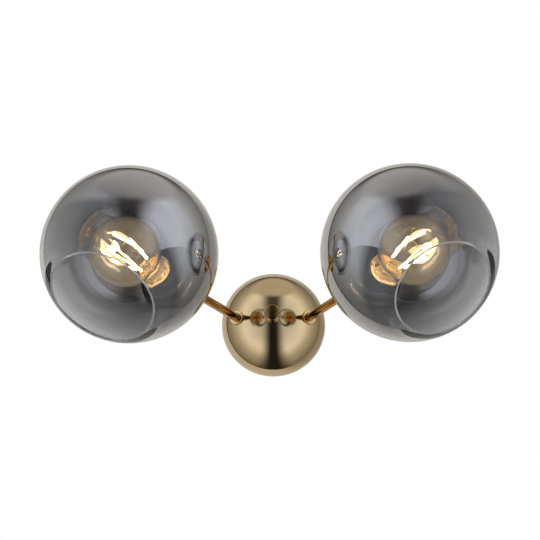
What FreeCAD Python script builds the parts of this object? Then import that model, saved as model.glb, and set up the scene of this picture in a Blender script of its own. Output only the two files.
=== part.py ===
import FreeCAD, Part
import math
import os

# Double arm wall sconce: a half-ball canopy on the wall, two straight oblique arms, and at the
# end of each arm a lamp holder with a filament bulb inside a smoked glass globe whose mouth is
# cut obliquely.
#
# Everything is drawn on the wall: X to the right, Y up, Z out of the wall into the room, with
# the origin on the wall plane in the middle of the canopy. The pieces are turned upright
# (Z up, the room on the -Y side) as they are written. Millimetres and degrees throughout.

# Canopy
canopy_radius = 50.0
canopy_wall = 1.2
stud_hole_gap = 0.3         # room round the stud in the canopy

# Cap nut in the middle of the canopy
knob_radius = 7.5
knob_length = 14.0
knob_edge = 0.9
knob_end_wall = 3.5         # metal left at the end of its blind thread

# Crossbar bracket, with its middle set forward of the wall for the nut behind it
bracket_length = 84.0
bracket_width = 18.0
bracket_sheet = 1.5
bracket_set_forward = 6.5
bracket_middle_length = 26.0
bracket_slope_length = 7.0
bracket_bend = 1.2
slot_spacing = 60.0
slot_length = 12.0
slot_width = 4.5
ear_width = 16.0
earth_ear_reach = 24.0      # from the middle of the bracket up to the end of the ear
block_ear_reach = 28.0      # and down
earth_screw_height = 17.0
bend_offset_share = 0.35    # how far a bend's outer corner moves along, of the sheet
rounded_end_share = 0.25    # radius of the strip's and ears' corners, of their width

# Screws of the bracket, the terminal block and the lamp holder
earth_screw_radius = 2.0
earth_screw_length = 6.0
earth_head_radius = 3.8
earth_head_height = 2.4
block_screw_radius = 1.5
block_screw_grip = 2.0      # how far it goes into the block
block_head_radius = 2.8
block_head_height = 1.8
terminal_screw_radius = 1.5
terminal_screw_length = 6.0
terminal_head_radius = 2.6
terminal_head_height = 1.6
head_slot_width = 0.8
screw_end_room = 0.5        # between a screw's end and the bottom of its hole

# Centre stud and its two nuts
stud_radius = 3.0
nut_flats = 10.0
nut_height = 4.5
nut_round = 1.12            # round of a nut's chamfer, of half its flats
stud_end_room = 1.0         # between the stud and the end of the knob's thread

# Terminal block
block_width = 30.0
block_height = 13.0
block_depth = 11.0
block_drop = 20.0           # middle of the block below the stud
pole_count = 3
pole_pitch = 9.6
pole_radius = 3.9
pole_height = 3.0
pole_screw_radius = 1.6
pole_screw_length = 3.0
pole_screw_stand = 1.2      # how far it stands out of its hole's floor
pole_slot_width = 0.6
wire_way_radius = 1.9
wire_way_share = 0.42       # height of the wire ways, of the block's depth
block_corner = 1.5
trench_width = 1.2          # groove between two poles
trench_depth = 1.5

# Arms
arm_radius = 4.0
arm_bore_radius = 3.1
arm_splay = 26.4            # away from the wall's normal, to each side
arm_rise = 6.2              # above the horizontal
arm_root_share = 0.672      # how far to the side its axis leaves the canopy, of the radius
arm_inner_length = 16.0     # threaded end inside the canopy
collar_radius = 6.8
collar_height = 3.0
collar_edge = 0.8
saddle_radius = 6.5
saddle_height = 3.0
saddle_reach_share = 0.35   # how far the saddle reaches in past the ball, of its radius
arm_nut_flats = 12.0
arm_nut_height = 4.0

# Glass globes: centre on the arm's axis, mouth cut by a plane
globe_distance = 190.5      # from the arm's root to the globe's centre
globe_radius = 75.0
globe_glass = 2.5
globe_neck_radius = 21.6
mouth_edge = 0.8
left_mouth_tilt = 54.8      # mouth axis away from the arm's axis
left_mouth_turn = 0.0       # about the arm's axis, from straight down
left_mouth_plane = 59.4     # from the globe's centre
right_mouth_tilt = 47.1
right_mouth_turn = 4.2
right_mouth_plane = 61.1

# Metal cup that closes the lamp holder behind the glass
cup_radius = 23.5
cup_wall = 1.2
cup_corner = 9.0
cup_reach_share = 0.9       # its blank, as far as this share of the globe's radius
cup_nut_height = 4.0

# Lamp holder: base, skirted sleeve, brass screw shell, spring contact
sleeve_radius = 20.0
sleeve_wall = 2.4
sleeve_length = 26.0
step_radius = 17.0
step_length = 8.0
rim_radius = 15.0
rim_length = 3.5
rim_edge = 0.5
step_slope = 1.2
holder_reach = 28.5         # the sleeve's rim, in front of the globe's back
base_length = 13.0
shell_wall = 0.4
contact_width = 6.0
contact_sheet = 0.6
contact_room = 8.6          # for the spring contact, between the bulb and the base
contact_tip = 3.0           # how far its end reaches past the axis
contact_bend = 1.5
contact_rim = 2.5           # between its foot and the screw shell
contact_foot_share = 0.45
lead_hole_gap = 0.3
terminal_offset = 10.5

# Ring that clamps the glass on the sleeve
ring_radius = 28.0
ring_flange = 3.4
ring_hub_radius = 22.2
ring_hub_length = 5.5
ring_edge = 1.0

# Bulb
bulb_radius = 30.0
bulb_reach = 50.6           # from the cap's front edge to the centre of its ball
bulb_waist_radius = 40.0    # hollow curve from the ball to the neck
bulb_neck_radius = 12.3
bulb_glass = 0.8
cap_radius = 13.0
cap_stand = 2.9             # the cap's front edge, beyond the sleeve's rim
cap_length = 21.0
cap_lip = 0.6
cap_wall = 0.6
cap_shoulder = 2.5
cap_seat = 3.0              # how deep the neck sits in the cap
insulator_length = 4.0
insulator_radius = 10.0
insulator_end_radius = 5.5
contact_disc_radius = 4.5
contact_disc_height = 1.6
stem_flare_radius = 8.5
stem_radius = 3.2
stem_flare_length = 15.0
stem_shoulder = 8.0
stem_slope = 2.0
stem_flare_height = 6.0     # where the flare's curve is steepest
stem_flare_share = 0.22
stem_anchor = 4.0           # from the sticks' near ends back to where their wires meet
rod_anchor = 1.0            # and from the rod's end
rod_radius = 1.5
rod_reach = 10.0            # beyond the centre of the ball
filament_count = 4
filament_radius = 1.0
filament_near_radius = 5.0  # from the bulb's axis to the stick, at the cap end
filament_far_radius = 11.5
filament_near = -29.0       # along the axis from the centre of the ball
filament_far = 6.0
support_wire_radius = 0.35
support_tail = 2.0

# Leads in the arms
lead_radius = 1.5
lead_bend = 9.0
lead_run_out = 13.0         # straight on from the arm's inner end
lead_drop = 5.8             # from the lead's last bend down to the terminal block
lead_grip = 4.0             # how far it goes into its pole

# Clearances
running_gap = 0.05          # shafts and threads that turn
glass_gap = 0.3             # between the glass and what clamps it
contact_gap = 0.3           # between the bulb's and the holder's contacts
seat_gap = 0.02             # pieces that sit still on one another

os.makedirs("parts", exist_ok=True)

origin = FreeCAD.Vector(0, 0, 0)
x_axis = FreeCAD.Vector(1, 0, 0)
y_axis = FreeCAD.Vector(0, 1, 0)
z_axis = FreeCAD.Vector(0, 0, 1)


def turned(start, *steps):
    """Turned piece about Z. Each step is a corner (radius, z), or a pair of such points for an
    arc through the first to the second. The outline closes by itself."""
    def point(corner):
        return FreeCAD.Vector(corner[0], 0, corner[1])
    edges = []
    here = point(start)
    for step in steps + (start,):
        if isinstance(step[0], tuple):
            there = point(step[1])
            edges.append(Part.Arc(here, point(step[0]), there).toShape())
        else:
            there = point(step)
            if here.distanceToPoint(there) < 1e-6:
                continue
            edges.append(Part.makeLine(here, there))
        here = there
    return Part.Face(Part.Wire(edges)).revolve(origin, z_axis, 360)


def rod(radius, start, end):
    """Round bar between two points."""
    return Part.makeCylinder(radius, start.distanceToPoint(end), start, end - start)


def hexagon(flats, height, z):
    """Hexagonal block standing on z."""
    corner = flats / 2 / math.cos(math.radians(30))
    angles = [math.radians(60 * step) for step in range(7)]
    points = [FreeCAD.Vector(corner * math.cos(a), corner * math.sin(a), z) for a in angles]
    return Part.Face(Part.makePolygon(points)).extrude(z_axis * height)


def nut(flats, height, bore, z):
    """Hexagon nut with chamfered corners."""
    round_radius = flats / 2 * nut_round
    slope = round_radius - flats / 2
    barrel = turned((0, z), (flats / 2, z), (round_radius, z + slope),
                    (round_radius, z + height - slope), (flats / 2, z + height), (0, z + height))
    return hexagon(flats, height, z).common(barrel).cut(Part.makeCylinder(bore, height, z_axis * z))


def pan_screw(radius, length, head_radius, head_height, z):
    """Screw along Z whose head rests on z and whose slot is cut across the head."""
    shank = Part.makeCylinder(radius, length, z_axis * (z - length))
    head = turned((0, z), (head_radius, z), (head_radius, z + head_height / 2),
                  ((head_radius * 0.8, z + head_height * 0.85), (0, z + head_height)))
    slot = Part.makeBox(head_radius * 3, head_slot_width, head_height,
                        FreeCAD.Vector(-head_radius * 1.5, -head_slot_width / 2,
                                       z + head_height / 2))
    return shank.fuse(head).cut(slot).removeSplitter()


def edges_where(shape, test):
    return [edge for edge in shape.Edges if not edge.Degenerated and test(edge)]


def on_circle(edge, radius, z):
    """True for a full circle about Z with that radius and height."""
    curve = edge.Curve
    if not isinstance(curve, Part.Circle):
        return False
    return abs(curve.Radius - radius) < 1e-3 and abs(curve.Center.z - z) < 1e-3


def height_on_ball(ball_radius, radius):
    """Height of a ball's surface over its middle plane, at a distance from its axis."""
    return math.sqrt(ball_radius ** 2 - radius ** 2)


# Canopy and its fixings

canopy_inner_radius = canopy_radius - canopy_wall
bracket_back = bracket_set_forward          # back face of the bracket's middle
bracket_front = bracket_set_forward + bracket_sheet
knob_front = canopy_radius + knob_length
stud_end = knob_front - knob_end_wall - stud_end_room
block_front = bracket_front + block_depth


def arm_axis(side):
    splay = math.radians(arm_splay)
    rise = math.radians(arm_rise)
    return FreeCAD.Vector(side * math.sin(splay) * math.cos(rise), math.sin(rise),
                          math.cos(splay) * math.cos(rise))


def arm_root(side):
    reach = canopy_radius * arm_root_share
    return FreeCAD.Vector(side * reach, 0, height_on_ball(canopy_radius, reach))


def make_canopy():
    half = math.sqrt(0.5)
    shell = turned((canopy_radius, 0),
                   ((canopy_radius * half, canopy_radius * half), (0, canopy_radius)),
                   (0, canopy_inner_radius),
                   ((canopy_inner_radius * half, canopy_inner_radius * half),
                    (canopy_inner_radius, 0)))
    shell = shell.cut(Part.makeCylinder(stud_radius + stud_hole_gap, canopy_radius + 1))
    for side in (-1, 1):
        root, axis = arm_root(side), arm_axis(side)
        hole = rod(arm_radius + running_gap, root - axis * arm_inner_length,
                   root + axis * arm_inner_length)
        shell = shell.cut(hole)
    return shell


def make_knob():
    back = height_on_ball(canopy_radius, knob_radius) - knob_edge
    barrel = Part.makeCylinder(knob_radius, knob_front - back, z_axis * back)
    front_edge = edges_where(barrel, lambda edge: on_circle(edge, knob_radius, knob_front))
    barrel = barrel.makeFillet(knob_edge, front_edge)
    seat = Part.makeSphere(canopy_radius + running_gap)
    bore = Part.makeCylinder(stud_radius + running_gap, knob_front - knob_end_wall)
    return barrel.cut(seat).cut(bore)


def make_bracket():
    half_middle = bracket_middle_length / 2
    half_foot = half_middle + bracket_slope_length
    end = bracket_length / 2
    slant = bracket_sheet * bend_offset_share
    front = [(-end, bracket_sheet), (-half_foot - slant, bracket_sheet),
             (-half_middle - slant, bracket_front), (half_middle + slant, bracket_front),
             (half_foot + slant, bracket_sheet), (end, bracket_sheet)]
    back = [(end, 0), (half_foot - slant, 0), (half_middle - slant, bracket_back),
            (-half_middle + slant, bracket_back), (-half_foot + slant, 0), (-end, 0)]
    corners = [FreeCAD.Vector(x, -bracket_width / 2, z) for x, z in front + back + front[:1]]
    bar = Part.Face(Part.makePolygon(corners)).extrude(y_axis * bracket_width)
    bends = edges_where(bar, lambda edge: abs(abs(edge.tangentAt(0).y) - 1) < 1e-6
                        and abs(edge.CenterOfMass.x) < end - 1)
    bar = bar.makeFillet(bracket_bend, bends)
    ends = edges_where(bar, lambda edge: abs(abs(edge.tangentAt(0).z) - 1) < 1e-6
                       and abs(abs(edge.CenterOfMass.x) - end) < 1e-6)
    bar = bar.makeFillet(bracket_width * rounded_end_share, ends)
    ear = Part.makeBox(ear_width, earth_ear_reach + block_ear_reach, bracket_sheet,
                       FreeCAD.Vector(-ear_width / 2, -block_ear_reach, bracket_back))
    ear_ends = edges_where(ear, lambda edge: abs(abs(edge.tangentAt(0).z) - 1) < 1e-6)
    ear = ear.makeFillet(ear_width * rounded_end_share, ear_ends)
    bar = bar.fuse(ear).removeSplitter()
    for x in (-slot_spacing / 2, slot_spacing / 2):
        straight = (slot_length - slot_width) / 2
        slot = Part.makeBox(2 * straight, slot_width, bracket_front,
                            FreeCAD.Vector(x - straight, -slot_width / 2, 0))
        for end_x in (x - straight, x + straight):
            slot = slot.fuse(Part.makeCylinder(slot_width / 2, bracket_front,
                                               FreeCAD.Vector(end_x, 0, 0)))
        bar = bar.cut(slot)
    holes = [(0, stud_radius + seat_gap), (earth_screw_height, earth_screw_radius + seat_gap),
             (-block_drop, block_screw_radius + seat_gap)]
    for height, radius in holes:
        bar = bar.cut(Part.makeCylinder(radius, bracket_front + 1, FreeCAD.Vector(0, height, 0)))
    return bar



def make_stud():
    start = bracket_back - nut_height
    stud = Part.makeCylinder(stud_radius, stud_end - start, z_axis * start)
    ends = edges_where(stud, lambda edge: isinstance(edge.Curve, Part.Circle))
    return stud.makeChamfer(stud_radius / 5, ends)


def make_stud_nuts():
    bore = stud_radius + seat_gap
    return [nut(nut_flats, nut_height, bore, bracket_back - nut_height),
            nut(nut_flats, nut_height, bore, bracket_front)]


def make_earth_screw():
    screw = pan_screw(earth_screw_radius, earth_screw_length, earth_head_radius,
                      earth_head_height, bracket_front)
    screw.translate(y_axis * earth_screw_height)
    return screw


def pole_places():
    first = -(pole_count - 1) / 2
    return [(first + step) * pole_pitch for step in range(pole_count)]


def make_terminal_block():
    middle = FreeCAD.Vector(0, -block_drop, 0)
    block = Part.makeBox(block_width, block_height, block_depth,
                         FreeCAD.Vector(-block_width / 2, -block_drop - block_height / 2,
                                        bracket_front))
    upright = edges_where(block, lambda edge: abs(abs(edge.tangentAt(0).z) - 1) < 1e-6)
    block = block.makeFillet(block_corner, upright)
    for x in pole_places():
        place = middle + FreeCAD.Vector(x, 0, block_front - 1)
        block = block.fuse(Part.makeCylinder(pole_radius, pole_height + 1, place))
    for x in pole_places():
        place = middle + FreeCAD.Vector(x, 0, block_front - pole_screw_length)
        block = block.cut(Part.makeCylinder(pole_screw_radius + seat_gap,
                                            pole_height + pole_screw_length, place))
        way = FreeCAD.Vector(x, -block_drop - block_height, wire_way_depth())
        block = block.cut(Part.makeCylinder(wire_way_radius, 2 * block_height, way, y_axis))
    block = block.cut(Part.makeCylinder(block_screw_radius + seat_gap,
                                        block_screw_grip + screw_end_room,
                                        middle + z_axis * bracket_front))
    for x in (-pole_pitch / 2, pole_pitch / 2):
        trench = Part.makeBox(trench_width, block_height, 2 * trench_depth,
                              FreeCAD.Vector(x - trench_width / 2,
                                             -block_drop - block_height / 2,
                                             block_front - trench_depth))
        block = block.cut(trench)
    return block.removeSplitter()



def wire_way_depth():
    return bracket_front + block_depth * wire_way_share


def make_terminal_screws():
    screws = []
    for x in pole_places():
        base = block_front - pole_screw_length
        top = block_front + pole_screw_stand
        screw = Part.makeCylinder(pole_screw_radius, top - base,
                                  FreeCAD.Vector(x, -block_drop, base))
        slot = Part.makeBox(4 * pole_screw_radius, pole_slot_width, pole_screw_stand,
                            FreeCAD.Vector(x - 2 * pole_screw_radius,
                                           -block_drop - pole_slot_width / 2,
                                           top - pole_screw_stand * 2 / 3))
        screws.append(screw.cut(slot))
    return screws


def make_block_screw():
    length = bracket_sheet + block_screw_grip
    screw = pan_screw(block_screw_radius, length, block_head_radius, block_head_height, 0)
    screw.rotate(origin, x_axis, 180)
    screw.translate(FreeCAD.Vector(0, -block_drop, bracket_back))
    return screw


# Places along an arm's axis, measured from the globe's centre, negative towards the wall
arm_root_z = -globe_distance
arm_start = arm_root_z - arm_inner_length
saddle_bottom = (arm_root_z - canopy_wall - saddle_height
                 - saddle_radius * saddle_reach_share)
sleeve_front = -globe_radius + holder_reach
rim_back = sleeve_front - rim_length
step_back = rim_back - step_length
sleeve_back = step_back - sleeve_length
cap_front = sleeve_front + cap_stand
cap_back = cap_front - cap_length
seat_floor = cap_front - cap_seat
bulb_middle = cap_front + bulb_reach
rod_end = bulb_middle + rod_reach
bulb_tip = cap_back - insulator_length - contact_disc_height
base_front = bulb_tip - contact_room
base_back = base_front - base_length
arm_end = base_back + base_length / 2
cup_back = base_back - cup_nut_height - cup_wall

# Radii that follow from their neighbours
shell_inner_radius = cap_radius + running_gap
shell_outer_radius = shell_inner_radius + shell_wall


def head_placement(side):
    """Frame of one arm: origin in the globe's centre, Z along the arm, X as near to straight
    down as it can be."""
    axis = arm_axis(side)
    down = y_axis * -1
    down = down - axis * down.dot(axis)
    down.normalize()
    turn = FreeCAD.Rotation(down, axis.cross(down), axis, "ZXY")
    return FreeCAD.Placement(arm_root(side) + axis * globe_distance, turn)


def canopy_ball(side, radius):
    """Ball of the canopy, seen in the frame of one arm."""
    ball = Part.makeSphere(radius)
    ball.Placement = head_placement(side).inverse()
    return ball


def make_arm_tube():
    tube = Part.makeCylinder(arm_radius, arm_end - arm_start, z_axis * arm_start)
    return tube.cut(Part.makeCylinder(arm_bore_radius, arm_end - arm_start, z_axis * arm_start))


def make_collar(side):
    """Ring round the arm whose back is hollowed to sit on the canopy."""
    top = arm_root_z + collar_height
    bottom = arm_root_z - collar_radius
    ring = Part.makeCylinder(collar_radius, top - bottom, z_axis * bottom)
    top_edge = edges_where(ring, lambda edge: on_circle(edge, collar_radius, top))
    ring = ring.makeFillet(collar_edge, top_edge)
    ring = ring.cut(Part.makeCylinder(arm_radius + seat_gap, top - bottom, z_axis * bottom))
    return ring.cut(canopy_ball(side, canopy_radius + seat_gap))


def make_saddle(side):
    """Washer inside the canopy, rounded to the canopy's inner face."""
    bottom = saddle_bottom
    blank = Part.makeCylinder(saddle_radius, saddle_height + 2 * saddle_radius, z_axis * bottom)
    blank = blank.cut(Part.makeCylinder(arm_radius + seat_gap, 6 * saddle_radius,
                                        z_axis * bottom))
    return blank.common(canopy_ball(side, canopy_inner_radius - seat_gap))


def make_arm_nut():
    return nut(arm_nut_flats, arm_nut_height, arm_radius + seat_gap,
               saddle_bottom - arm_nut_height)


def make_cup():
    """Turned cup whose rim follows the outside of the globe."""
    front = -globe_radius * cup_reach_share
    half = cup_corner * (1 - math.sqrt(0.5))
    inner = cup_radius - cup_wall
    inner_half = (cup_corner - cup_wall) * (1 - math.sqrt(0.5))
    floor = cup_back + cup_wall
    cup = turned((arm_radius + seat_gap, cup_back), (cup_radius - cup_corner, cup_back),
                 ((cup_radius - half, cup_back + half), (cup_radius, cup_back + cup_corner)),
                 (cup_radius, front), (inner, front), (inner, cup_back + cup_corner),
                 ((inner - inner_half, floor + inner_half), (cup_radius - cup_corner, floor)),
                 (arm_radius + seat_gap, floor))
    return cup.cut(Part.makeSphere(globe_radius + glass_gap))


def make_cup_nut():
    return nut(arm_nut_flats, cup_nut_height, arm_radius + seat_gap, cup_back + cup_wall)


# Lamp holder, drawn along Z

def make_holder_base():
    inner = sleeve_radius - sleeve_wall - seat_gap
    base = turned((arm_radius + seat_gap, base_back), (sleeve_radius, base_back),
                  (sleeve_radius, sleeve_back - seat_gap), (inner, sleeve_back - seat_gap),
                  (inner, base_front), (0, base_front), (0, arm_end + seat_gap),
                  (arm_radius + seat_gap, arm_end + seat_gap))
    for x in (-terminal_offset, terminal_offset):
        base = base.cut(Part.makeCylinder(terminal_screw_radius + seat_gap, terminal_screw_length,
                                          FreeCAD.Vector(x, 0, base_back)))
    return base.cut(Part.makeCylinder(lead_radius + lead_hole_gap, base_length,
                                      z_axis * (base_front - base_length)))



def make_holder_screws():
    screws = []
    for x in (-terminal_offset, terminal_offset):
        screw = pan_screw(terminal_screw_radius, terminal_screw_length - screw_end_room,
                          terminal_head_radius, terminal_head_height, 0)
        screw.rotate(origin, x_axis, 180)
        screw.translate(FreeCAD.Vector(x, 0, base_back - seat_gap))
        screws.append(screw)
    return screws


def make_sleeve():
    inner = sleeve_radius - sleeve_wall
    bore = shell_outer_radius + glass_gap
    mouth = cap_radius + cap_lip + glass_gap
    sleeve = turned((inner, sleeve_back), (sleeve_radius, sleeve_back),
                    (sleeve_radius, step_back), (step_radius, step_back + step_slope),
                    (step_radius, rim_back), (rim_radius, rim_back),
                    (rim_radius, sleeve_front), (mouth, sleeve_front), (mouth, rim_back),
                    (bore, rim_back), (bore, step_back - sleeve_wall),
                    (inner, step_back - sleeve_wall))
    rim = edges_where(sleeve, lambda edge: on_circle(edge, rim_radius, sleeve_front))
    return sleeve.makeFillet(rim_edge, rim)


def make_screw_shell():
    shell = Part.makeCylinder(shell_outer_radius, rim_back - base_front, z_axis * base_front)
    return shell.cut(Part.makeCylinder(shell_inner_radius, rim_back - base_front,
                                       z_axis * base_front))


def make_spring_contact():
    """Bent tongue from the holder's base to just under the bulb's contact."""
    tip = bulb_tip - contact_gap
    half = contact_width / 2
    reach = shell_inner_radius - contact_rim
    knee = reach * contact_foot_share
    outline = [(reach, base_front), (reach, base_front + contact_sheet),
               (knee, base_front + contact_sheet), (contact_bend, tip), (-contact_tip, tip),
               (-contact_tip, tip - contact_sheet), (contact_bend - contact_sheet, tip - contact_sheet),
               (knee - contact_sheet, base_front), (reach, base_front)]
    points = [FreeCAD.Vector(x, -half, z) for x, z in outline]
    return Part.Face(Part.makePolygon(points)).extrude(y_axis * contact_width)


def make_shade_ring():
    """Clamping ring: a hub threaded on the sleeve and a wide flange against the glass."""
    seat = globe_radius - globe_glass - glass_gap
    flange_back = -height_on_ball(seat, ring_radius)
    flange_front = flange_back + ring_flange
    bore = sleeve_radius + running_gap
    back = -height_on_ball(seat, bore)
    ring = turned((bore, back), (ring_radius, back), (ring_radius, flange_front),
                  (ring_hub_radius, flange_front), (ring_hub_radius, flange_front + ring_hub_length),
                  (bore, flange_front + ring_hub_length))
    ring = ring.common(Part.makeSphere(seat))
    rounded = edges_where(ring, lambda edge: on_circle(edge, ring_radius, flange_front)
                          or on_circle(edge, ring_hub_radius, flange_front + ring_hub_length))
    return ring.makeFillet(ring_edge, rounded)


# Glass globe

def make_globe(tilt, turn, plane):
    ball = Part.makeSphere(globe_radius).cut(Part.makeSphere(globe_radius - globe_glass))
    ball = ball.cut(Part.makeCylinder(globe_neck_radius, globe_radius + 1, origin, z_axis * -1))
    tilt, turn = math.radians(tilt), math.radians(turn)
    mouth_axis = FreeCAD.Vector(math.sin(tilt) * math.cos(turn), math.sin(tilt) * math.sin(turn),
                                math.cos(tilt))
    ball = ball.cut(Part.makeCylinder(globe_radius, globe_radius, mouth_axis * plane, mouth_axis))
    rims = edges_where(ball, lambda edge: isinstance(edge.Curve, Part.Circle)
                       and (edge.Curve.Center - mouth_axis * plane).Length < 1e-3)
    return ball.makeChamfer(mouth_edge, rims)


# Bulb, drawn along Z

def bulb_outline(wall):
    """Points of the bulb's outline from its nose to its neck, a wall's depth inside the glass."""
    ball = bulb_radius - wall
    waist = bulb_waist_radius + wall
    neck = bulb_neck_radius - wall
    waist_x = neck + waist
    waist_z = bulb_middle - math.sqrt((ball + waist) ** 2 - waist_x ** 2)
    share = ball / (ball + waist)
    tangent = (waist_x * share, bulb_middle + (waist_z - bulb_middle) * share)
    on_ball = (ball, bulb_middle)
    middle = math.atan2(tangent[1] - waist_z, tangent[0] - waist_x)
    middle = (middle % (2 * math.pi) + math.pi) / 2
    on_waist = (waist_x + waist * math.cos(middle), waist_z + waist * math.sin(middle))
    return (0, bulb_middle + ball), on_ball, tangent, on_waist, (neck, waist_z)


def make_bulb_glass():
    nose, side, tangent, waist, neck = bulb_outline(0)
    nose_in, side_in, tangent_in, waist_in, neck_in = bulb_outline(bulb_glass)
    return turned(nose, (side, tangent), (waist, neck), (bulb_neck_radius, seat_floor),
                  (bulb_neck_radius - bulb_glass, seat_floor), neck_in, (waist_in, tangent_in),
                  (side_in, nose_in))


def make_bulb_cap():
    seat = bulb_neck_radius + seat_gap
    inside = cap_radius - cap_wall
    shoulder = cap_back + cap_shoulder
    return turned((insulator_radius, cap_back), (cap_radius, shoulder),
                  (cap_radius, cap_front - 2 * cap_lip),
                  (cap_radius + cap_lip, cap_front - cap_lip),
                  (cap_radius + cap_lip, cap_front), (seat, cap_front), (seat, seat_floor),
                  (0, seat_floor), (0, seat_floor - cap_wall), (inside, seat_floor - cap_wall),
                  (inside, shoulder + cap_wall), (insulator_radius, cap_back + 2 * cap_wall))


def make_insulator():
    back = cap_back - insulator_length
    plug = insulator_radius - seat_gap
    return turned((0, back), (insulator_end_radius, back), (plug, cap_back),
                  (plug, cap_back + 2 * cap_wall), (0, cap_back + 2 * cap_wall))


def make_contact_disc():
    top = cap_back - insulator_length
    return turned((0, bulb_tip), (contact_disc_radius * 0.6, bulb_tip),
                  ((contact_disc_radius * 0.9, bulb_tip + contact_disc_height * 0.4),
                   (contact_disc_radius, top)), (0, top))


def make_stem():
    """Flared glass foot on the cap's floor that carries a thin rod."""
    top = seat_floor + stem_flare_length
    bend = (stem_radius + (stem_flare_radius - stem_radius) * stem_flare_share,
            seat_floor + stem_flare_height)
    shoulder = top + stem_shoulder
    return turned((0, seat_floor), (stem_flare_radius, seat_floor), (bend, (stem_radius, top)),
                  (stem_radius, shoulder), (rod_radius, shoulder + stem_slope), (rod_radius, rod_end),
                  (0, rod_end))


def filament_ends():
    """Near and far end of each stick, evenly round the bulb's axis."""
    ends = []
    for step in range(filament_count):
        angle = 2 * math.pi * (step + 0.5) / filament_count
        out = FreeCAD.Vector(math.cos(angle), math.sin(angle), 0)
        ends.append((out * filament_near_radius + z_axis * (bulb_middle + filament_near),
                     out * filament_far_radius + z_axis * (bulb_middle + filament_far)))
    return ends


def make_filaments():
    return [rod(filament_radius, near, far) for near, far in filament_ends()]


def support_wire(end, along, anchor):
    """Wire that leaves a stick's end in line with it and turns to the stem."""
    corner = end + along * support_tail
    wire = rod(support_wire_radius, end, corner).fuse(rod(support_wire_radius, corner, anchor))
    return wire.fuse(Part.makeSphere(support_wire_radius, corner))


def make_support_wires():
    stem = make_stem()
    wires = []
    for near, far in filament_ends():
        along = (far - near).normalize()
        far_anchor = z_axis * (rod_end - rod_anchor)
        near_anchor = z_axis * (near.z - stem_anchor)
        wires.append(support_wire(far, along, far_anchor).cut(stem))
        wires.append(support_wire(near, along * -1, near_anchor).cut(stem))
    return wires


# Leads

def rounded_path(points, radius):
    """Straight runs between the points, joined by tangent arcs."""
    edges = []
    here = points[0]
    for before, corner, after in zip(points, points[1:], points[2:]):
        back = (before - corner).normalize()
        ahead = (after - corner).normalize()
        half = back.getAngle(ahead) / 2
        reach = radius / math.tan(half)
        bisector = (back + ahead).normalize()
        middle = corner + bisector * (radius / math.sin(half) - radius)
        edges.append(Part.makeLine(here, corner + back * reach))
        edges.append(Part.Arc(corner + back * reach, middle, corner + ahead * reach).toShape())
        here = corner + ahead * reach
    edges.append(Part.makeLine(here, points[-1]))
    return Part.Wire(edges)


def make_lead(side):
    """Lead from the lamp holder down the arm and round to its pole of the terminal block."""
    root, axis = arm_root(side), arm_axis(side)
    start = root + axis * (globe_distance + base_front)
    out = root - axis * (arm_inner_length + lead_run_out)
    block_top = -block_drop + block_height / 2
    pole = FreeCAD.Vector(side * pole_pitch, block_top - lead_grip, wire_way_depth())
    over_pole = FreeCAD.Vector(pole.x, block_top + lead_drop, pole.z)
    path = rounded_path([start, out, over_pole, pole], lead_bend)
    section = Part.Wire(Part.makeCircle(lead_radius, start, axis))
    return path.makePipeShell([section], True, True)


# The pieces by name

def write(name, pieces):
    """Turn a piece, or a group of separate pieces, upright and write it."""
    pieces = pieces if isinstance(pieces, list) else [pieces]
    shape = Part.makeCompound(pieces) if len(pieces) > 1 else pieces[0]
    shape = shape.copy()
    shape.rotate(origin, x_axis, 90)
    shape.exportStep("parts/" + name + ".step")
    volume = sum(solid.Volume for solid in shape.Solids)
    print(name, len(shape.Solids), "solids", round(volume), "mm3", shape.isValid())


def write_head(side_name, side, name, pieces):
    """Write a piece that was drawn along its arm."""
    pieces = pieces if isinstance(pieces, list) else [pieces]
    place = head_placement(side)
    placed = []
    for piece in pieces:
        piece = piece.copy()
        piece.Placement = place.multiply(piece.Placement)
        placed.append(piece)
    write(side_name + "_" + name, placed)


write("canopy", make_canopy())
write("canopy_knob", make_knob())
write("wall_bracket", make_bracket())
write("centre_stud", make_stud())
write("stud_nuts", make_stud_nuts())
write("earth_screw", make_earth_screw())
write("terminal_block", make_terminal_block())
write("terminal_screws", make_terminal_screws())
write("block_screw", make_block_screw())

mouths = {"left": (left_mouth_tilt, left_mouth_turn, left_mouth_plane),
          "right": (right_mouth_tilt, right_mouth_turn, right_mouth_plane)}

for side_name, side in (("left", -1), ("right", 1)):
    write(side_name + "_lead", make_lead(side))
    write_head(side_name, side, "arm_tube", make_arm_tube())
    write_head(side_name, side, "arm_collar", make_collar(side))
    write_head(side_name, side, "arm_saddle", make_saddle(side))
    write_head(side_name, side, "arm_nut", make_arm_nut())
    write_head(side_name, side, "holder_cup", make_cup())
    write_head(side_name, side, "cup_nut", make_cup_nut())
    write_head(side_name, side, "holder_base", make_holder_base())
    write_head(side_name, side, "holder_screws", make_holder_screws())
    write_head(side_name, side, "holder_sleeve", make_sleeve())
    write_head(side_name, side, "screw_shell", make_screw_shell())
    write_head(side_name, side, "spring_contact", make_spring_contact())
    write_head(side_name, side, "shade_ring", make_shade_ring())
    write_head(side_name, side, "globe", make_globe(*mouths[side_name]))
    write_head(side_name, side, "bulb_glass", make_bulb_glass())
    write_head(side_name, side, "bulb_cap", make_bulb_cap())
    write_head(side_name, side, "bulb_insulator", make_insulator())
    write_head(side_name, side, "bulb_contact", make_contact_disc())
    write_head(side_name, side, "bulb_stem", make_stem())
    write_head(side_name, side, "bulb_filaments", make_filaments())
    write_head(side_name, side, "bulb_wires", make_support_wires())
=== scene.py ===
import math

import bpy
from mathutils import Matrix, Vector


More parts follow.
